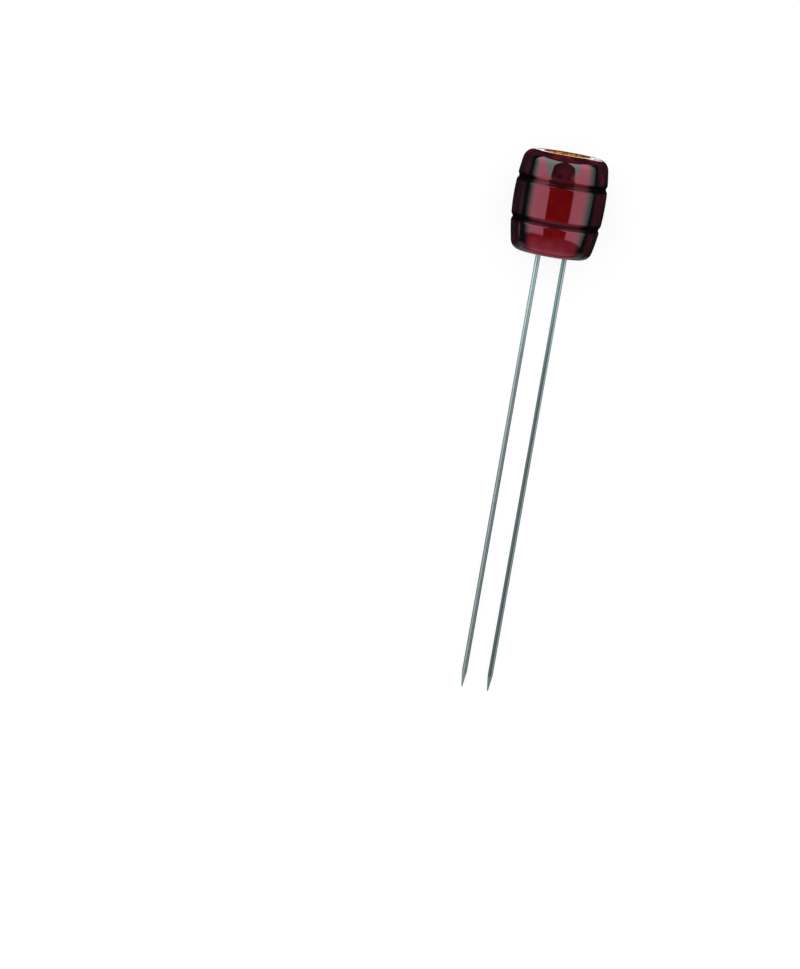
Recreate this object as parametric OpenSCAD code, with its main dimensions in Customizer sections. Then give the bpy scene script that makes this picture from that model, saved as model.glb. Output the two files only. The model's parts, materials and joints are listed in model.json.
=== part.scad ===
// Cocktail pick: a small barrel-shaped head with two hooped grooves and a wooden
// lid, on two parallel steel prongs. It lies as it comes to rest on a table: the
// barrel's belly and both prong tips touch the surface, the prongs point to -X.
// The pick is drawn upright first, along Z, with the barrel's underside at z = 0
// and the prongs below it, and is then laid down.

/* [Barrel head] */
// Height of the barrel along the pick
head_h = 20.3; // [18:0.1:26]
// Diameter of the barrel at its belly
belly_d = 18.4; // [16:0.2:26]
// Height of the belly above the barrel's underside
belly_z = 11; // [9:0.5:13]
// Radius of the bulged side, seen from the side
side_r = 44; // [30:1:90]
// Rounding of the barrel's top edge
top_round = 2.3; // [0.5:0.1:3]
// Rounding of the barrel's bottom edge
bottom_round = 2; // [0.5:0.1:4]

/* [Hoop grooves] */
// Distance of the lower groove from the underside
low_groove = 6.4; // [5:0.1:7]
// Distance of the upper groove from the top
high_groove = 5.7; // [5:0.1:7]
// Width of a groove between its rounded lips
groove_w = 1.6; // [0.8:0.1:2]
// Depth of a groove below the barrel's side
groove_depth = 0.3; // [0.1:0.05:0.6]

/* [Lid] */
// Diameter of the wooden lid
lid_d = 9.2; // [6:0.1:10.5]
// Thickness of the wooden lid
lid_t = 1.2; // [0.6:0.1:3]
// How far the lid's face lies below the barrel's top
lid_sink = 0.1; // [0:0.05:0.6]
// Rounded-off edge of the lid's face, as a chamfer
lid_chamfer = 0.12; // [0.05:0.01:0.3]
// Chamfer round the mouth of the lid's recess
recess_chamfer = 0.15; // [0.05:0.05:0.3]

/* [Prongs] */
// Diameter of a prong
prong_d = 1; // [0.8:0.1:1.6]
// Distance between the two prongs' centres
prong_pitch = 5.3; // [3:0.1:6]
// How far the pair of prongs sits to one side of the barrel's centre
pair_offset = 0.4; // [0:0.05:0.8]
// Length of a prong below the barrel, to its tip
prong_len = 90; // [60:1:110]
// Length of the ground point
tip_len = 3.2; // [2:0.1:6]
// Diameter of the blunt end of the point
tip_d = 0.2; // [0.1:0.05:0.4]
// Diameter of the turned-down end that is held in the barrel
spigot_d = 0.6; // [0.4:0.05:0.7]
// Length of that end inside the barrel
spigot_len = 6; // [3:0.5:9]

/* [Clearances] */
// Gap for glue round a spigot
glue_gap = 0.03; // [0.01:0.01:0.1]
// Gap round the lid in its recess
lid_gap = 0.05; // [0.02:0.01:0.2]

/* [Hidden] */
$fn = 96;
// Overshoot of a cut past the face that it opens
cut = 1;
// Steps along a rounded edge, a groove and the plain sides between them
round_steps = 7;
groove_steps = 12;
end_steps = 3;
middle_steps = 6;

belly_r = belly_d / 2;
prong_r = prong_d / 2;
tip_r = tip_d / 2;
recess_d = lid_d + 2 * lid_gap;
recess_depth = lid_t + lid_sink;
shoulder_z = tip_len - prong_len;

// The side is one long arc, so each edge rounding touches it from inside
arc_x = belly_r - side_r;
top_z = head_h - top_round;
top_x = arc_x + sqrt(pow(side_r - top_round, 2) - pow(top_z - belly_z, 2));
top_angle = asin((top_z - belly_z) / (side_r - top_round));
bottom_x = arc_x + sqrt(pow(side_r - bottom_round, 2) - pow(bottom_round - belly_z, 2));
bottom_angle = asin((bottom_round - belly_z) / (side_r - bottom_round));
side_top = top_z + top_round * sin(top_angle);
side_bottom = bottom_round + bottom_round * sin(bottom_angle);
grooves = [low_groove, head_h - high_groove];

// Depth of the grooves at a height: each is one wave of a cosine, with soft lips
function groove_dip(z) = let(near = [for (g = grooves) if (abs(z - g) < groove_w / 2) z - g])
    len(near) == 0 ? 0 : groove_depth * (1 + cos(360 * near[0] / groove_w)) / 2;
function side_x(z) = arc_x + sqrt(side_r * side_r - pow(z - belly_z, 2)) - groove_dip(z);
function steps(from, to, count) = [for (i = [0 : count - 1]) from + (to - from) * i / count];
function rounding(x, z, r, from, to) =
    [for (a = concat(steps(from, to, round_steps), [to])) [x + r * cos(a), z + r * sin(a)]];

side_heights = concat(
    steps(side_bottom, grooves[0] - groove_w / 2, end_steps),
    steps(grooves[0] - groove_w / 2, grooves[0] + groove_w / 2, groove_steps),
    steps(grooves[0] + groove_w / 2, grooves[1] - groove_w / 2, middle_steps),
    steps(grooves[1] - groove_w / 2, grooves[1] + groove_w / 2, groove_steps),
    steps(grooves[1] + groove_w / 2, side_top, end_steps));
barrel_outline = concat(
    [[0, 0]],
    rounding(bottom_x, bottom_round, bottom_round, -90, bottom_angle),
    [for (z = side_heights) if (z > side_bottom) [side_x(z), z]],
    rounding(top_x, top_z, top_round, top_angle, 90),
    [[0, head_h]]);

// The tilt at which the barrel's side and a point on the prongs' undersides, at
// height z and radius r, both touch the table
function touching_tilt(z, r) = let(along = belly_z - z, across = side_r - belly_r + r)
    atan2(along, across) - acos(side_r / sqrt(along * along + across * across));
rest_tilt = min(touching_tilt(shoulder_z, prong_r), touching_tilt(-prong_len, tip_r));

// Where that tilt puts the pick: down onto the table, and centred along X
lift = max(prong_r * cos(rest_tilt) - shoulder_z * sin(rest_tilt),
           tip_r * cos(rest_tilt) + prong_len * sin(rest_tilt));
head_end = max([for (p = barrel_outline) p[0] * sin(rest_tilt) + p[1] * cos(rest_tilt)]);
tip_end = -tip_r * sin(rest_tilt) - prong_len * cos(rest_tilt);

module laid_down() {
    translate([-(head_end + tip_end) / 2, 0, lift])
        rotate([0, 90 - rest_tilt, 0])
            children();
}

// Places its children on one prong's centre line: side is 1 for left, -1 for right
module on_prong(side) {
    translate([0, side * prong_pitch / 2 - pair_offset, 0])
        children();
}

module lid_recess() {
    translate([0, 0, head_h - recess_depth])
        cylinder(d = recess_d, h = recess_depth + cut);
    translate([0, 0, head_h - recess_chamfer])
        cylinder(d1 = recess_d, d2 = recess_d + 2 * recess_chamfer, h = recess_chamfer);
}

module spigot_bore() {
    translate([0, 0, -cut])
        cylinder(d = spigot_d + 2 * glue_gap, h = spigot_len + cut);
}

module barrel_head() {
    color([0.36, 0.02, 0.04])
        laid_down()
            difference() {
                rotate_extrude() polygon(barrel_outline);
                lid_recess();
                for (side = [1, -1])
                    on_prong(side) spigot_bore();
            }
}

module lid_disc() {
    color([0.66, 0.42, 0.18])
        laid_down()
            translate([0, 0, head_h - recess_depth]) {
                cylinder(d = lid_d, h = lid_t - lid_chamfer);
                translate([0, 0, lid_t - lid_chamfer])
                    cylinder(d1 = lid_d, d2 = lid_d - 2 * lid_chamfer, h = lid_chamfer);
            }
}

// A straight steel pin: a ground point, the plain shaft whose shoulder seats on the
// barrel's underside, and the spigot that is glued into the barrel
module prong(side) {
    color([0.72, 0.77, 0.77])
        laid_down()
            on_prong(side) {
                translate([0, 0, -prong_len])
                    cylinder(d1 = tip_d, d2 = prong_d, h = tip_len);
                translate([0, 0, shoulder_z])
                    cylinder(d = prong_d, h = -shoulder_z);
                cylinder(d = spigot_d, h = spigot_len);
            }
}

module left_prong() {
    prong(1);
}

module right_prong() {
    prong(-1);
}

barrel_head();
lid_disc();
left_prong();
right_prong();
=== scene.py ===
"""A cocktail pick, lying at rest: a ruby barrel head with a wooden lid, on two steel prongs."""

import json
from math import asin, cos, pi, radians, sin, sqrt
from types import SimpleNamespace

import bpy
from mathutils import Euler, Matrix, Vector


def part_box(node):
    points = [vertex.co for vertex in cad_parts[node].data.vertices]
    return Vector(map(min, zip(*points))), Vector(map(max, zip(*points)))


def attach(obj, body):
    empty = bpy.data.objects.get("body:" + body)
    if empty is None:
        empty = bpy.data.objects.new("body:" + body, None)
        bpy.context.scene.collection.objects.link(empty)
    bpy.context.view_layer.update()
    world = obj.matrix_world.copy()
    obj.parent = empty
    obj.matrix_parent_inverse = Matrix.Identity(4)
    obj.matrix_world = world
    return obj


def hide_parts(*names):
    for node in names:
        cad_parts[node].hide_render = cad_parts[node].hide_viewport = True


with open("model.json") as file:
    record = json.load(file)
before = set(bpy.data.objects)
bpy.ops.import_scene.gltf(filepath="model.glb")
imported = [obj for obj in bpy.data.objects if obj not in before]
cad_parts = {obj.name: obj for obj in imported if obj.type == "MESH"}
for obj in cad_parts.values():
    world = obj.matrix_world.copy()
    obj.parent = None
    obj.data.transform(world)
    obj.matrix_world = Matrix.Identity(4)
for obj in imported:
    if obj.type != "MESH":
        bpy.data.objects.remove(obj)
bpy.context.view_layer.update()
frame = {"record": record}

MM = 0.001

# Sizes of the pick, in metres, with heights from the barrel's underside
HEAD_H = 20.3 * MM
BELLY_R = 9.2 * MM
BELLY_Z = 11 * MM
SIDE_R = 44 * MM
TOP_ROUND = 2.3 * MM
BOTTOM_ROUND = 2 * MM
GROOVES = (6.4 * MM, HEAD_H - 5.7 * MM)
GROOVE_W = 1.6 * MM
GROOVE_DEPTH = 0.3 * MM
LID_R = 4.6 * MM
LID_T = 1.2 * MM
LID_SINK = 0.1 * MM
LID_CHAMFER = 0.12 * MM
LID_GAP = 0.05 * MM
RECESS_DEPTH = LID_T + LID_SINK
RECESS_FLOOR = HEAD_H - RECESS_DEPTH
RECESS_CHAMFER = 0.15 * MM
PRONG_R = 0.5 * MM
TIP_LEN = 3.2 * MM
TIP_R = 0.1 * MM
SPIGOT_R = 0.3 * MM
SPIGOT_LEN = 6 * MM
GLUE_GAP = 0.03 * MM

# How finely the pieces are turned: facets round each, steps up the barrel's side between its
# edges and the edges of its grooves, and steps round a rounded edge
BARREL_FACETS = 256
LID_FACETS = 128
PRONG_FACETS = 48
SIDE_STEPS = (8, 20, 14, 20, 8)
EDGE_STEPS = 10
SMOOTH_ANGLE = radians(32)
WELD_DISTANCE = 0.002 * MM

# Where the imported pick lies: the shafts' mounts give the prongs' lines and their shoulders
mounts = {m["name"]: m for m in frame["record"]["mounts"]}
shaft = mounts["left_prong_shaft"]
SHAFT_LEN = shaft["dims"]["length_mm"] * MM
TO_TIP = Vector(shaft["axis"]).normalized()
REST_TILT = asin(-TO_TIP.z)
shoulder = Vector(shaft["pos_m"]) - TO_TIP * SHAFT_LEN / 2
UNDERSIDE = Vector((shoulder.x, 0, shoulder.z))
PRONG_Y = {side: mounts[side + "_prong_shaft"]["pos_m"][1] for side in ("left", "right")}
UPRIGHT_TO_LYING = Euler((0, pi / 2 - REST_TILT, 0))

# Pairs of numbers below say where a soft change begins and where it is complete.

# The painted red light inside the plastic, a lit red that stands in for light through it, by the height as
# a share of the head's
INNER_LIGHT_RED = (
    (0.05, (0.205, 0.020, 0.032)), (0.15, (0.185, 0.013, 0.022)),
    (0.23, (0.145, 0.0026, 0.0026)), (0.68, (0.130, 0.0020, 0.0020)),
    (0.74, (0.125, 0.0060, 0.0110)), (0.93, (0.165, 0.0090, 0.0160)))
# The painted dark shade of the red towards its outline, by how far the side turns from the eye
RIM_SHADE_RED = (
    (0.27, (0.0022, 0.0028, 0.0036)), (0.33, (0.0030, 0.0030, 0.0040)),
    (0.41, (0.0180, 0.0060, 0.0085)), (0.55, (0.0210, 0.0060, 0.0080)),
    (0.68, (0.0250, 0.0065, 0.0085)), (0.84, (0.0080, 0.0040, 0.0050)))
RIM_SHADE_BEGINS = (0.13, 0.26)
# Clouds tint the first of these two at random, and streaks along the pick the second, darker or as painted
# red glints
CLOUDS = ((0.35, (0.84, 0.70, 0.76)), (0.65, (1.12, 1.30, 1.20)))
GLINT_STREAKS = ((0.38, (0.55, 0.70, 0.70)), (0.50, (1.0, 1.0, 1.0)), (0.64, (1.9, 1.1, 1.1)))
GLINT_STREAK_LENGTH = 4 * MM
GLINT_STREAKS_ROUND = (4, 4, 0)
# The cloudy reds of the painted upper shade, of the painted darker band round the top with its painted red
# glints, and of the underside, painted there in place of the rim shade
UPPER_SHADE_RED = ((0.38, (0.014, 0.003, 0.006)), (0.62, (0.042, 0.004, 0.009)))
TOP_RED = (
    (0.36, (0.026, 0.0045, 0.0090)), (0.52, (0.044, 0.006, 0.010)), (0.66, (0.120, 0.008, 0.010)))
TOP_BEGINS = (19.25 * MM, 19.5 * MM)
UNDERSIDE_RED = ((0.38, (0.050, 0.004, 0.007)), (0.62, (0.100, 0.009, 0.014)))
UNDERSIDE_BEGINS = (0.25 * MM, 0.05 * MM)
# How high the plastic's glossy surface swells
SWELL = 0.012 * MM

# A painted dark shade in the upper middle of the barrel, where it faces the eye: its lowest and
# highest height, how far round it reaches there, as the Layer Weight of a side that turns away, and
# how much of that is to the left
UPPER_SHADE = ((15.7 * MM, 0.037), (19.4 * MM, 0.110))
UPPER_SHADE_LEAN = 0.7
UPPER_SHADE_SIDES = (0.022, -0.016)
UPPER_SHADE_FOOT = (15.2 * MM, 16.0 * MM)
UPPER_SHADE_TOP = (19.7 * MM, 19.3 * MM)

# The painted shade in each groove: the groove's height, how far under and over it the shade begins
# and ends, and the colours of the groove's painted shade and of the painted glow over it. A single
# pair of colours goes all round, and of three the first is in the middle, the second to the left and
# the third to the right
GROOVE_SHADES = (
    (GROOVES[0], -0.66 * MM, 1.2 * MM,
     (((0.022, 0.0025, 0.0050, 1), (0.100, 0.012, 0.028, 1)),)),
    (GROOVES[1], -1.00 * MM, 1.0 * MM,
     (((0.008, 0.0003, 0.0003, 1), (0.028, 0.002, 0.003, 1)),
      ((0.150, 0.030, 0.041, 1), (0.340, 0.055, 0.075, 1)),
      ((0.075, 0.012, 0.018, 1), (0.170, 0.008, 0.014, 1)))))
# Over a groove's height: where its shade is full, how softly that ends above, where the glow
# begins, and where its colours take over from those of the groove below
SHADE_FULL = -0.43 * MM
SHADE_FADE = 0.35 * MM
GLOW_BEGINS = (0.30 * MM, 0.65 * MM)
OWN_COLOURS = (-3 * MM, -2 * MM)
# Where the left and the right begin, how far round a groove's painted shade turns black, and how matt its
# shade is
LEFT_BEGINS = (0.26, 0.34)
RIGHT_BEGINS = (-0.24, -0.30)
DEEP_SHADE_BEGINS = (0.12, 0.25)
GROOVE_DEEP_SHADE = (0.0004, 0.0002, 0.0004, 1)
MATT_SHARE = 0.88

# Painted red and pink glints inside the plastic and painted grey haze at its foot: the angle round
# the pick from straight above, positive to the right, the height, the half-width, the half-length and the
# colour
GLINTS = (
    (radians(61), 16.6 * MM, radians(4.5), 1.7 * MM, (0.085, 0.008, 0.010, 1)),
    (radians(65), 10.8 * MM, radians(4.5), 3.4 * MM, (0.035, 0.006, 0.008, 1)),
    (radians(60), 4.4 * MM, radians(3.5), 1.6 * MM, (0.075, 0.008, 0.009, 1)),
    (radians(-52), 4.3 * MM, radians(1.6), 2.0 * MM, (0.100, 0.050, 0.055, 1)),
    (radians(-53), 9.6 * MM, radians(5), 4.2 * MM, (0.032, 0.012, 0.015, 1)),
    (radians(-56), 17.0 * MM, radians(9), 2.2 * MM, (0.036, 0.008, 0.011, 1)),
    (radians(118), 15.8 * MM, radians(5), 1.6 * MM, (0.070, 0.008, 0.010, 1)),
    (radians(-121), 9.8 * MM, radians(4), 3.2 * MM, (0.050, 0.008, 0.010, 1)),
    (radians(176), 4.6 * MM, radians(5), 1.7 * MM, (0.070, 0.010, 0.012, 1)),
    (radians(-47), 1.0 * MM, radians(13), 1.3 * MM, (0.060, 0.038, 0.046, 1)),
    (radians(46), 0.9 * MM, radians(14), 1.1 * MM, (0.045, 0.030, 0.034, 1)))

# The same for the painted faint lights and shades in the painted upper shade
UPPER_SHADE_GLINTS = (
    (radians(2), 17.2 * MM, radians(9), 1.5 * MM, (0.056, 0.004, 0.007, 1)),
    (radians(-5), 16.3 * MM, radians(5), 0.8 * MM, (0.011, 0.003, 0.005, 1)),
    (radians(-12), 16.9 * MM, radians(3.5), 1.2 * MM, (0.014, 0.003, 0.006, 1)),
    (radians(14), 16.2 * MM, radians(5), 1.2 * MM, (0.100, 0.016, 0.025, 1)))

# The lid's wood: its grain's colours, how close the grain lies along, across and through it,
# how it is turned, and the brown that it darkens to towards its edge
WOOD = ((0.38, (0.13, 0.036, 0.004)), (0.48, (0.46, 0.165, 0.010)), (0.62, (0.80, 0.340, 0.040)))
GRAIN_PER_M = (160, 1500, 300)
GRAIN_TURN = (0, 0, radians(-25))
BROWN_BEGINS = (LID_R - 0.9 * MM, LID_R - 0.2 * MM)
EDGE_BROWN = (0.16, 0.026, 0.006, 1)
PORE_DEPTH = 0.03 * MM

# Each prong's tint, darker on the right prong as painted shade, and its painted paler and darker
# lengthwise bands, painted highlight and shade: the angle round the prong from straight above,
# positive to the right, the half-width and the strength
WIRES = {
    "left": ((0.40, 0.50, 0.495), (
        (radians(-45), radians(52), 0.20),
        (radians(-5), radians(22), 0.45),
        (radians(33), radians(52), -0.36))),
    "right": ((0.31, 0.41, 0.405), (
        (radians(-10), radians(44), -0.42),
        (radians(60), radians(44), 0.35)))}
# How much paler the wire is painted by the head, as painted light, and from where; the length of
# its die lines and of the grinding marks on its point, and where the point begins
PALER = 0.6
PALER_BEGINS = (-26 * MM, -3 * MM)
DIE_LINE = 90 * MM
GRIND_MARK = 0.06 * MM
POINT_BEGINS = (-SHAFT_LEN + 0.2 * MM, -SHAFT_LEN - 0.2 * MM)

# The softboxes as the pick sees them, by the angle round the pick from straight above and the
# angle along it towards the lid: the side (1 is left), the angle round at which each begins, half
# the width of that edge and how far it moves out towards the lid, the angles at which it is last
# full and ends, how far these two lean out towards the lid, and its ends along the pick, the
# lower one first and with its slope
SOFTBOXES = (
    (1, radians(28), radians(0.6), radians(4), radians(60), radians(90), 0.60,
     radians(-24), 0.063, radians(53)),
    (-1, radians(33), radians(2.5), radians(-3), radians(58), radians(102), 0.10,
     radians(-23.4), 0.032, radians(53)))
# Where the inner edges have moved out, and where and how much they lean in again after that
SHIFT_BEGINS = (radians(3), radians(8))
LEAN_IN_FROM = radians(10)
LEAN_IN = 0.5
# Half the width of the softboxes' ends, and how bright they are, below and towards the lid
SOFTBOX_EDGE = radians(0.6)
SOFTBOX_RADIANCE = 1.35
SOFTBOX_TOP_GAIN = 0.85
TOP_GAIN_BEGINS = (0, radians(36))
# The paler ground beyond the prongs, along the pick and round it
GROUND_RADIANCE = 0.42
GROUND_ALONG = (radians(-20), radians(-55))
GROUND_AROUND = (radians(175), radians(110))
# The rest of the room as gloss shows it, and the even light on what is matt
ROOM_RADIANCE = 0.02
ROOM_TINT = (0.94, 0.98, 1, 1)
EVEN_RADIANCE = 0.45
WHITE = (1, 1, 1, 1)

# The table: its own white and the grey that its shadow takes away from, as seen, and its paleness
# as it lights the pick
TABLE_R = 4
TABLE_GLOW = 0.84
TABLE_GREY = (0.22, 0.22, 0.22, 1)
TABLE_PALE = (0.8, 0.8, 0.8, 1)

# Cards on the table that only the gloss of the pick shows: the place along the table that each
# is set out from, mostly an end of the barrel, how far from there, to the left and over the table
# it lies, its size along and across the pick, the colour and the strength
(PRONG_END_X, _, _), (LID_END_X, _, _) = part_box("barrel_head")
CARDS = {
    "black_card": (0, (0, 0, 0.1 * MM), (8, 8), (0.01, 0.01, 0.012), 1),
    "brown_card": (LID_END_X, (0.13 * MM, 0, 0.15 * MM), (1.4 * MM, 13 * MM), (0.36, 0.10, 0.06), 1),
    "white_card": (LID_END_X, (1.09 * MM, 0, 0.15 * MM), (0.52 * MM, 15 * MM), (1, 0.96, 0.94), 1.15),
    "peach_card": (LID_END_X, (1.70 * MM, 0, 0.15 * MM), (0.70 * MM, 11 * MM), (1, 0.78, 0.66), 1.05),
    "corner_card": (LID_END_X, (4.75 * MM, -7 * MM, 0.15 * MM), (4.5 * MM, 4 * MM), (1, 0.98, 0.97), 1),
    "grey_card": (PRONG_END_X, (-20 * MM, 0, 0.15 * MM), (36 * MM, 30 * MM), (1, 0.96, 0.92), 0.16),
    "pale_card": (PRONG_END_X, (-27 * MM, 0, 0.2 * MM), (28 * MM, 54 * MM), (1, 0.94, 0.92), 0.34)}


def side_x(z):
    """Radius of the barrel's side at height z, grooves included."""
    dip = sum(GROOVE_DEPTH * (1 + cos(2 * pi * (z - g) / GROOVE_W)) / 2
              for g in GROOVES if abs(z - g) < GROOVE_W / 2)
    return BELLY_R - SIDE_R + sqrt(SIDE_R ** 2 - (z - BELLY_Z) ** 2) - dip


def steps(start, stop, count):
    """Even steps from start up to stop, without stop itself."""
    return [start + (stop - start) * i / count for i in range(count)]


def rounding(x, z, r, start, stop):
    """Points on an arc round (x, z), from one angle to another."""
    return [(x + r * cos(a), z + r * sin(a)) for a in steps(start, stop, EDGE_STEPS) + [stop]]


def edge_centre(round_r, z):
    """Radius of the centre of an edge's rounding at height z, and the angle where the side meets it."""
    reach = SIDE_R - round_r
    return BELLY_R - SIDE_R + sqrt(reach ** 2 - (z - BELLY_Z) ** 2), asin((z - BELLY_Z) / reach)


def barrel_outline():
    """The barrel's section, from the underside's centre up its side and into the lid's recess."""
    bottom_x, bottom_angle = edge_centre(BOTTOM_ROUND, BOTTOM_ROUND)
    top_z = HEAD_H - TOP_ROUND
    top_x, top_angle = edge_centre(TOP_ROUND, top_z)
    low = BOTTOM_ROUND * (1 + sin(bottom_angle))
    high = top_z + TOP_ROUND * sin(top_angle)
    cuts = [low] + [g + s * GROOVE_W / 2 for g in GROOVES for s in (-1, 1)] + [high]
    heights = [z for a, b, n in zip(cuts, cuts[1:], SIDE_STEPS) for z in steps(a, b, n)]
    mouth = LID_R + LID_GAP
    return ([(0, 0)]
            + rounding(bottom_x, BOTTOM_ROUND, BOTTOM_ROUND, -pi / 2, bottom_angle)
            + [(side_x(z), z) for z in heights[1:]]
            + rounding(top_x, top_z, TOP_ROUND, top_angle, pi / 2)
            + [(mouth + RECESS_CHAMFER, HEAD_H), (mouth, HEAD_H - RECESS_CHAMFER),
               (mouth, RECESS_FLOOR), (0, RECESS_FLOOR)])


def lid_outline():
    """The lid's section, from the middle of the recess's floor up to the middle of its face."""
    top = RECESS_FLOOR + LID_T
    return [(0, RECESS_FLOOR), (LID_R, RECESS_FLOOR), (LID_R, top - LID_CHAMFER),
            (LID_R - LID_CHAMFER, top), (0, top)]


def prong_outline():
    """A prong's section, from the end of its point up to the end of its spigot in the barrel."""
    return [(0, -SHAFT_LEN - TIP_LEN), (TIP_R, -SHAFT_LEN - TIP_LEN), (PRONG_R, -SHAFT_LEN),
            (PRONG_R, 0), (SPIGOT_R, 0), (SPIGOT_R, SPIGOT_LEN), (0, SPIGOT_LEN)]


def deselect():
    if bpy.context.mode != "OBJECT":
        bpy.ops.object.mode_set(mode="OBJECT")
    bpy.ops.object.select_all(action="DESELECT")


def turned(name, outline, facets):
    """Turns an outline of (radius, height) points round the Z axis, as on a lathe."""
    deselect()
    (x, z), *rest = outline
    bpy.ops.mesh.primitive_plane_add(size=MM, location=(x, 0, z))
    piece = bpy.context.object
    piece.name = name
    bpy.ops.object.mode_set(mode="EDIT")
    bpy.ops.mesh.merge(type="CENTER")
    for next_x, next_z in rest:
        bpy.ops.mesh.extrude_region_move(
            TRANSFORM_OT_translate={"value": (next_x - x, 0, next_z - z)})
        x, z = next_x, next_z
    bpy.ops.mesh.select_all(action="SELECT")
    bpy.ops.mesh.spin(steps=facets, angle=2 * pi, center=(0, 0, 0), axis=(0, 0, 1))
    bpy.ops.mesh.select_all(action="SELECT")
    bpy.ops.mesh.remove_doubles(threshold=WELD_DISTANCE)
    bpy.ops.mesh.normals_make_consistent(inside=False)
    bpy.ops.object.mode_set(mode="OBJECT")
    bpy.ops.object.shade_smooth_by_angle(angle=SMOOTH_ANGLE)
    return piece


def drill(piece, y, radius, depth):
    """Bores a blind hole up into an upright piece's underside."""
    deselect()
    cut = 1 * MM
    bpy.ops.mesh.primitive_cylinder_add(
        vertices=PRONG_FACETS, radius=radius, depth=depth + cut, location=(0, y, (depth - cut) / 2))
    drill_bit = bpy.context.object
    bore = piece.modifiers.new("bore", "BOOLEAN")
    bore.operation = "DIFFERENCE"
    bore.object = drill_bit
    deselect()
    bpy.context.view_layer.objects.active = piece
    bpy.ops.object.modifier_apply(modifier=bore.name)
    bpy.data.objects.remove(drill_bit)
    piece.select_set(True)
    bpy.ops.object.shade_smooth_by_angle(angle=SMOOTH_ANGLE)


def lay_down(piece, y=0.0):
    """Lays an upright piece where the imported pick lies, and puts its place in its mesh."""
    bpy.ops.object.transform_apply(location=True, rotation=True, scale=True)
    piece.rotation_euler = UPRIGHT_TO_LYING
    piece.location = UNDERSIDE + Vector((0, y, 0))
    bpy.ops.object.transform_apply(location=True, rotation=True, scale=True)
    return piece


def finish_piece(piece, node, material):
    """Gives a piece its material, hangs it on the root body, and hides the CAD node that it stands for."""
    piece.data.materials.clear()
    piece.data.materials.append(material)
    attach(piece, "root")
    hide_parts(node)


class Signal:
    """A socket of a shader node. Python's operators on it add Math nodes."""

    def __init__(self, maker, socket):
        self.maker, self.socket = maker, socket

    def math(self, operation, *others, swap=False):
        values = [self, *others]
        if swap:
            values.reverse()
        return self.maker.add("Math", {"operation": operation}, dict(enumerate(values)))

    def __add__(self, other):
        return self.math("ADD", other)

    def __sub__(self, other):
        return self.math("SUBTRACT", other)

    def __rsub__(self, other):
        return self.math("SUBTRACT", other, swap=True)

    def __mul__(self, other):
        return self.math("MULTIPLY", other)

    def __truediv__(self, other):
        return self.math("DIVIDE", other)

    def __pow__(self, other):
        return self.math("POWER", other)

    def __abs__(self):
        return self.math("ABSOLUTE")

    __radd__ = __add__
    __rmul__ = __mul__


class Nodes:
    """Adds nodes to one material or world."""

    def __init__(self, tree):
        self.tree = tree
        tree.nodes.clear()

    def add(self, kind, settings=None, inputs=None, output=0):
        node = self.tree.nodes.new("ShaderNode" + kind)
        for key, value in (settings or {}).items():
            if key == "stops":
                self.set_stops(node.color_ramp, value)
            else:
                setattr(node, key, value)
        for key, value in (inputs or {}).items():
            socket = node.inputs[key]
            if isinstance(value, Signal):
                self.tree.links.new(value.socket, socket)
            else:
                socket.default_value = value
        return Signal(self, node.outputs[output]) if node.outputs else node

    def set_stops(self, ramp, stops):
        while len(ramp.elements) < len(stops):
            ramp.elements.new(0.5)
        for element, (place, colour) in zip(ramp.elements, stops):
            element.position = place
            element.color = (*colour, 1)

    def rise(self, value, start, end):
        """0 at the start and 1 at the end, eased between them."""
        return self.add("MapRange", {"interpolation_type": "SMOOTHSTEP"}, {0: value, 1: start, 2: end})

    def ramp(self, value, stops):
        return self.add("ValToRGB", {"stops": stops}, {0: value})

    def mix(self, share, first, second, blend="MIX"):
        """The first colour where the share is 0, and blended with the second where it is 1."""
        return self.add("Mix", {"data_type": "RGBA", "blend_type": blend},
                        {0: share, 6: first, 7: second}, output=2)

    def noise(self, way, scale, detail):
        return self.add("TexNoise", inputs={"Vector": way, "Scale": scale, "Detail": detail})

    def split(self, vector):
        return [self.add("SeparateXYZ", inputs={0: vector}, output=axis) for axis in "XYZ"]

    def light_path(self, *rays):
        """1 for rays of any of these kinds."""
        kinds = [self.add("LightPath", output=ray) for ray in rays]
        seen = kinds[0]
        for kind in kinds[1:]:
            seen = seen.math("MAXIMUM", kind)
        return seen


def new_material(name):
    material = bpy.data.materials.new(name)
    material.use_nodes = True
    return material, Nodes(material.node_tree)


def upright_place(nodes):
    """Object coordinates turned back to the upright pick: z along it, from the underside."""
    place = nodes.add("TexCoord", output="Object")
    return nodes.add("Mapping", {"vector_type": "TEXTURE"},
                     {"Vector": place, "Location": UNDERSIDE, "Rotation": UPRIGHT_TO_LYING})


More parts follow.
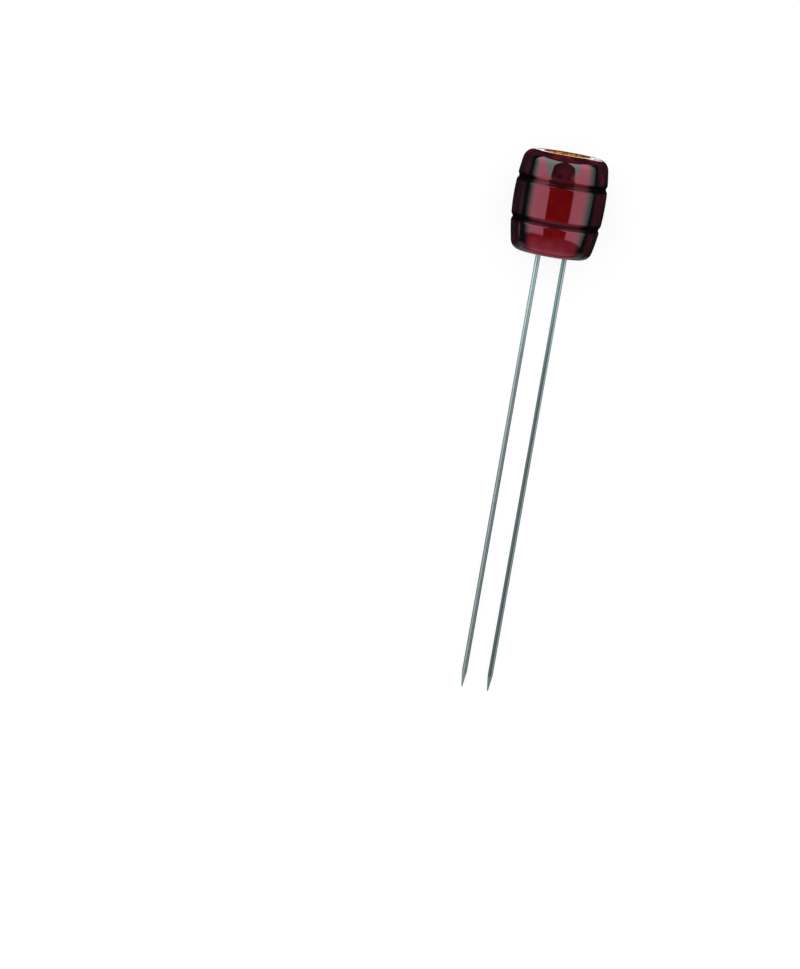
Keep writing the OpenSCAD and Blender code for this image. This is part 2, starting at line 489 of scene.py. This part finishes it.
def barrel_measures(nodes):
    """What the red plastic's colours go by, at each point of the barrel.

    These are its place, its height, the angle round the pick from straight above and positive to
    the right, how far left its side faces, how far the side turns from the eye (sideways), the same
    or less on the rounded edges (turned_away), and two noises, painted glint streaks and clouds."""
    at = SimpleNamespace(place=upright_place(nodes))
    x, y, at.height = nodes.split(at.place)
    at.around = (y * -1).math("ARCTAN2", x * -1)
    outward = nodes.add("CombineXYZ", inputs={"X": x, "Y": y})
    outward = nodes.add("VectorMath", {"operation": "NORMALIZE"}, {0: outward})
    at.left = nodes.add("SeparateXYZ", inputs={0: outward}, output="Y")
    lying = nodes.add("Mapping", {"vector_type": "VECTOR"},
                      {"Vector": outward, "Rotation": UPRIGHT_TO_LYING})
    at.sideways = nodes.add("LayerWeight", inputs={"Blend": 0.5, "Normal": lying}, output="Facing")
    turned_away = nodes.add("LayerWeight", inputs={"Blend": 0.5}, output="Facing")
    at.turned_away = at.sideways.math("MINIMUM", turned_away)
    along = nodes.add("CombineXYZ", inputs={"Z": at.height / GLINT_STREAK_LENGTH})
    glint_streak_way = nodes.add("VectorMath", {"operation": "MULTIPLY_ADD"},
                         {0: outward, 1: GLINT_STREAKS_ROUND, 2: along})
    at.flow = nodes.noise(glint_streak_way, scale=1.0, detail=2.0)
    at.clouds = nodes.noise(at.place, scale=420.0, detail=3.0)
    return at


def add_glints(nodes, at, base, glints):
    """Paints soft oval glints and shades over a colour of the barrel."""
    for angle, middle, half_width, half_length, colour in glints:
        off = ((at.around - angle) / half_width) ** 2 + ((at.height - middle) / half_length) ** 2
        base = nodes.mix(nodes.rise(off, 1, 0), base, colour)
    return base


def painted_upper_shade(nodes, at):
    """1 where the painted dark shade of the barrel's upper middle lies, where the side faces the eye."""
    (low, narrow), (high, wide) = UPPER_SHADE
    reach = (at.height - low) * ((wide - narrow) / (high - low)) + narrow
    reach = reach * (at.left * UPPER_SHADE_LEAN + 1)
    seen = nodes.rise(at.sideways - reach, *UPPER_SHADE_SIDES)
    return seen * nodes.rise(at.height, *UPPER_SHADE_FOOT) * nodes.rise(at.height, *UPPER_SHADE_TOP)


def groove_shade(nodes, at):
    """How much of the grooves' painted shade lies at each point, and its painted dark red."""
    in_groove = 0
    groove_shade_red = (0, 0, 0, 1)
    sectors = (1, nodes.rise(at.left, *LEFT_BEGINS), nodes.rise(at.left, *RIGHT_BEGINS))
    for groove, start, end, shades in GROOVE_SHADES:
        over = at.height - groove
        band = nodes.rise(over, start, SHADE_FULL) * nodes.rise(over, end, end - SHADE_FADE)
        in_groove = band + in_groove
        here = nodes.rise(over, *OWN_COLOURS)
        glowing = nodes.rise(over, *GLOW_BEGINS)
        for sector, (dull, glow) in zip(sectors, shades):
            groove_shade_red = nodes.mix(here * sector, groove_shade_red, nodes.mix(glowing, dull, glow))
    groove_shade_red = nodes.mix(nodes.rise(at.turned_away, *DEEP_SHADE_BEGINS), groove_shade_red, GROOVE_DEEP_SHADE)
    return in_groove, groove_shade_red


def ruby_plastic():
    """Deep red, glass-clear plastic with painted light and shade: a lit red where it faces the eye, a dark
    red where it turns away.
    """
    material, nodes = new_material("ruby_plastic")
    at = barrel_measures(nodes)
    # The painted dark shade of the upper middle of the barrel
    socket = painted_upper_shade(nodes, at)
    # The painted darker band round the top, with painted red glints in its clouds
    top = nodes.rise(at.height, *TOP_BEGINS)
    top_red = nodes.ramp(nodes.noise(at.place, scale=360.0, detail=1.0), TOP_RED)

    # Painted light: a lit red that stands in for the light through the plastic, clouded at random, with the
    # painted darker band round the top
    lit_red = nodes.ramp(at.height / HEAD_H, INNER_LIGHT_RED)
    lit_red = nodes.mix(1.0, lit_red, nodes.ramp(at.clouds, CLOUDS), "MULTIPLY")
    lit_red = nodes.mix(top, lit_red, top_red)

    # Painted shade: the dark red where the side turns away, with painted glint streaks and glints, the
    # painted upper shade, the painted band round the top and the red painted on the underside
    rim_shade_red = nodes.ramp(at.turned_away, RIM_SHADE_RED)
    rim_shade_red = nodes.mix(1.0, rim_shade_red, nodes.ramp(at.flow, GLINT_STREAKS), "MULTIPLY")
    rim_shade_red = add_glints(nodes, at, rim_shade_red, GLINTS)
    upper_shade_red = add_glints(nodes, at, nodes.ramp(at.clouds, UPPER_SHADE_RED), UPPER_SHADE_GLINTS)
    shaded_red = nodes.mix(socket, rim_shade_red, upper_shade_red)
    shaded_red = nodes.mix(top, shaded_red, top_red)
    # The cloudy red painted on the underside, in place of the painted rim shade
    underside = nodes.rise(at.height, *UNDERSIDE_BEGINS)
    shaded_red = nodes.mix(underside, shaded_red, nodes.ramp(at.clouds, UNDERSIDE_RED))
    in_groove, groove_shade_red = groove_shade(nodes, at)

    swell = nodes.noise(at.place, scale=260.0, detail=0.0)
    normal = nodes.add("Bump", inputs={"Strength": 1.0, "Distance": SWELL, "Height": swell})
    gloss = {"Roughness": 0.06, "Coat Weight": 1.0, "Coat Roughness": 0.02, "Coat IOR": 1.49,
             "Normal": normal}
    # The lit copy of the plastic, painted light, and its shaded copy, painted shade, mixed by how far the
    # side turns away and by the painted upper shade
    clear = nodes.add("BsdfPrincipled", inputs={
        "Base Color": lit_red, "IOR": 1.8, "Specular Tint": (1, 0.05, 0.24, 1), **gloss})
    shaded_plastic = nodes.add("BsdfPrincipled", inputs={"Base Color": shaded_red, "IOR": 1.49, **gloss})
    matt = nodes.add("BsdfPrincipled", inputs={
        "Base Color": groove_shade_red, "Roughness": 0.5, "Specular IOR Level": 0.05})
    away = nodes.rise(at.turned_away, *RIM_SHADE_BEGINS)
    plastic = nodes.add("MixShader", inputs={0: socket.math("MAXIMUM", away), 1: clear, 2: shaded_plastic})
    # The painted groove shade goes over both copies
    plastic = nodes.add("MixShader", inputs={0: in_groove * MATT_SHARE, 1: plastic, 2: matt})
    nodes.add("OutputMaterial", inputs={"Surface": plastic})
    return material


def lid_wood():
    """Amber wood, with dark streaks of grain across the disc."""
    material, nodes = new_material("lid_wood")
    place = upright_place(nodes)
    grain_way = nodes.add("Mapping", inputs={
        "Vector": place, "Rotation": GRAIN_TURN, "Scale": GRAIN_PER_M})
    grain = nodes.noise(grain_way, scale=1.0, detail=4.0)
    from_middle = nodes.add("VectorMath", {"operation": "MULTIPLY"}, {0: place, 1: (1, 1, 0)})
    from_middle = nodes.add("VectorMath", {"operation": "LENGTH"}, {0: from_middle}, output="Value")
    tone = nodes.mix(nodes.rise(from_middle, *BROWN_BEGINS), nodes.ramp(grain, WOOD), EDGE_BROWN)
    pores = nodes.add("Bump", inputs={"Strength": 0.6, "Distance": PORE_DEPTH, "Height": grain})
    wood = nodes.add("BsdfPrincipled", inputs={
        "Base Color": tone, "Roughness": 0.62 - grain * 0.3, "Specular IOR Level": 0.0,
        "Normal": pores})
    nodes.add("OutputMaterial", inputs={"Surface": wood})
    return material


def prong_steel(name, y, tint, bands):
    """Drawn steel wire: die lines down its length, painted bands of highlight and shade, painted paler by
    the head, with a fine grind round the point.
    """
    material, nodes = new_material(name)
    x, across, height = nodes.split(upright_place(nodes))
    x = x / PRONG_R
    across = (across - y) / PRONG_R
    down = nodes.add("CombineXYZ", inputs={"X": x, "Y": across, "Z": height / DIE_LINE})
    lines = nodes.noise(down, scale=2.2, detail=2.0) - 0.5
    round_it = nodes.add("CombineXYZ", inputs={"X": x, "Y": across, "Z": height / GRIND_MARK})
    grind = nodes.noise(round_it, scale=1.0, detail=1.0) - 0.3
    tone = nodes.rise(height, *PALER_BEGINS) * PALER + 1 + lines * 0.2
    # Painted lighter and darker lengthwise bands, standing in for highlight and shade round the wire
    for angle, half_width, strength in bands:
        facing_it = x * -cos(angle) - across * sin(angle)
        tone = tone + nodes.rise(facing_it, cos(half_width), 1.0) * strength
    tone = tone + nodes.rise(height, *POINT_BEGINS) * grind
    steel = nodes.add("BsdfPrincipled", inputs={
        "Base Color": nodes.mix(1.0, (*tint, 1), tone, "MULTIPLY"), "Metallic": 1.0,
        "Roughness": 0.44 + lines * 0.1})
    nodes.add("OutputMaterial", inputs={"Surface": steel})
    return material


def add_floor():
    """A plain table that the camera and the gloss see white, with the pick's soft shadow on it."""
    deselect()
    bpy.ops.mesh.primitive_circle_add(vertices=96, radius=TABLE_R, fill_type="NGON")
    floor = bpy.context.object
    floor.name = "floor"
    material, nodes = new_material("white_table")
    seen = nodes.light_path("Is Camera Ray", "Is Glossy Ray", "Is Transmission Ray")
    glow = nodes.add("Emission", inputs={"Color": WHITE, "Strength": TABLE_GLOW})
    grey = nodes.add("BsdfDiffuse", inputs={"Color": TABLE_GREY})
    white = nodes.add("AddShader", inputs={0: glow, 1: grey})
    pale = nodes.add("BsdfDiffuse", inputs={"Color": TABLE_PALE})
    nodes.add("OutputMaterial", inputs={
        "Surface": nodes.add("MixShader", inputs={0: seen, 1: pale, 2: white})})
    floor.data.materials.append(material)


def add_world():
    """A dark room with two tall softboxes and a paler ground beyond the prongs, as gloss shows it.

    Matt surfaces get plain white light from all round, and the camera sees plain white."""
    world = bpy.data.worlds.new("studio")
    bpy.context.scene.world = world
    world.use_nodes = True
    nodes = Nodes(world.node_tree)
    way = nodes.add("TexCoord", output="Generated")
    way = nodes.add("Mapping", {"vector_type": "TEXTURE"}, {"Vector": way, "Rotation": UPRIGHT_TO_LYING})
    x, y, z = nodes.split(way)
    around = y.math("ARCTAN2", x * -1)
    along = z.math("ARCSINE")
    ground = nodes.rise(along, *GROUND_ALONG) * nodes.rise(abs(around), *GROUND_AROUND)
    light = ground * GROUND_RADIANCE + ROOM_RADIANCE
    radiance = nodes.rise(along, *TOP_GAIN_BEGINS) * SOFTBOX_TOP_GAIN + SOFTBOX_RADIANCE
    lean_in = (along - LEAN_IN_FROM).math("MAXIMUM", 0) * LEAN_IN
    for side, near, near_edge, near_shift, full, far, lean, low, slope, high in SOFTBOXES:
        near = nodes.rise(along, *SHIFT_BEGINS) * near_shift - lean_in + near
        lit = nodes.rise(around * side, near - near_edge, near + near_edge)
        lit = lit * nodes.rise(around * side - along.math("MAXIMUM", 0) * lean, far, full)
        lit = lit * nodes.rise(along - around * side * slope, low - SOFTBOX_EDGE, low + SOFTBOX_EDGE)
        lit = lit * nodes.rise(along, high + SOFTBOX_EDGE, high - SOFTBOX_EDGE)
        light = lit * radiance + light
    room = nodes.add("Background", inputs={"Color": ROOM_TINT, "Strength": light})
    even = nodes.add("Background", inputs={"Color": WHITE, "Strength": EVEN_RADIANCE})
    white = nodes.add("Background", inputs={"Color": WHITE, "Strength": 1})
    lights = nodes.add("MixShader", inputs={0: nodes.light_path("Is Diffuse Ray"), 1: room, 2: even})
    seen = nodes.light_path("Is Camera Ray")
    nodes.add("OutputWorld", inputs={
        "Surface": nodes.add("MixShader", inputs={0: seen, 1: lights, 2: white})})


def add_fill():
    """A wide overhead lamp that evens out the light and makes no highlight of its own."""
    size, height, radiance = 1.2, 1.0, 0.75
    lamp = bpy.data.lights.new("overhead_fill", "AREA")
    lamp.size = size
    lamp.energy = radiance * pi * size ** 2
    fill = bpy.data.objects.new("overhead_fill", lamp)
    bpy.context.scene.collection.objects.link(fill)
    fill.location = (0, 0, height)
    fill.visible_camera = False
    fill.visible_glossy = False


def add_card(name, end_x, place, size, colour, strength):
    """A card that lies on the table and is seen only in the gloss of the pick."""
    deselect()
    x, y, z = place
    bpy.ops.mesh.primitive_plane_add(size=1, location=(end_x + x, y, z))
    card = bpy.context.object
    card.name = name
    card.scale = (*size, 1)
    material, nodes = new_material(name)
    glow = nodes.add("Emission", inputs={"Color": (*colour, 1), "Strength": strength})
    nodes.add("OutputMaterial", inputs={"Surface": glow})
    card.data.materials.append(material)
    card.visible_camera = False
    card.visible_diffuse = False
    card.visible_shadow = False
    card.visible_transmission = False


def add_camera():
    """Looks down on the lying pick at the photograph's angle, with the pick leaning as there."""
    frame_w, frame_h = 800, 969
    pixels_per_m = 5.0 / MM
    distance = 0.7
    above = radians(4.5)
    lean = radians(10.0)
    head_pixel = Vector((558.65, 204.25))
    sensor = 36.0
    focal_pixels = pixels_per_m * distance
    data = bpy.data.cameras.new("camera")
    data.sensor_width = sensor
    data.lens = focal_pixels / frame_h * sensor
    to_camera = Vector((-sin(REST_TILT - above), 0, cos(REST_TILT - above)))
    along = -TO_TIP
    up = (along - to_camera * along.dot(to_camera)).normalized()
    right = up.cross(to_camera)
    facing = Matrix((right, up, to_camera)).transposed() @ Matrix.Rotation(lean, 3, "Z")
    offset = Vector((head_pixel.x - frame_w / 2, frame_h / 2 - head_pixel.y, -focal_pixels))
    turn = offset.normalized().rotation_difference(Vector((0, 0, -1))).to_matrix()
    camera = bpy.data.objects.new("camera", data)
    bpy.context.scene.collection.objects.link(camera)
    camera.rotation_euler = (facing @ turn).to_euler()
    camera.location = UNDERSIDE - TO_TIP * HEAD_H / 2 + to_camera * distance
    bpy.context.scene.camera = camera


head = turned("ruby_barrel", barrel_outline(), BARREL_FACETS)
for y in PRONG_Y.values():
    drill(head, y, SPIGOT_R + GLUE_GAP, SPIGOT_LEN)
lay_down(head)
finish_piece(head, "barrel_head", ruby_plastic())

lid = lay_down(turned("wooden_lid", lid_outline(), LID_FACETS))
finish_piece(lid, "lid_disc", lid_wood())

for side, y in PRONG_Y.items():
    prong = lay_down(turned(side + "_pin", prong_outline(), PRONG_FACETS), y)
    tint, bands = WIRES[side]
    steel = prong_steel(side + "_prong_steel", y, tint, bands)
    finish_piece(prong, side + "_prong", steel)

add_floor()
add_world()
add_fill()
for name, card in CARDS.items():
    add_card(name, *card)
add_camera()
bpy.context.scene.view_settings.view_transform = "Standard"
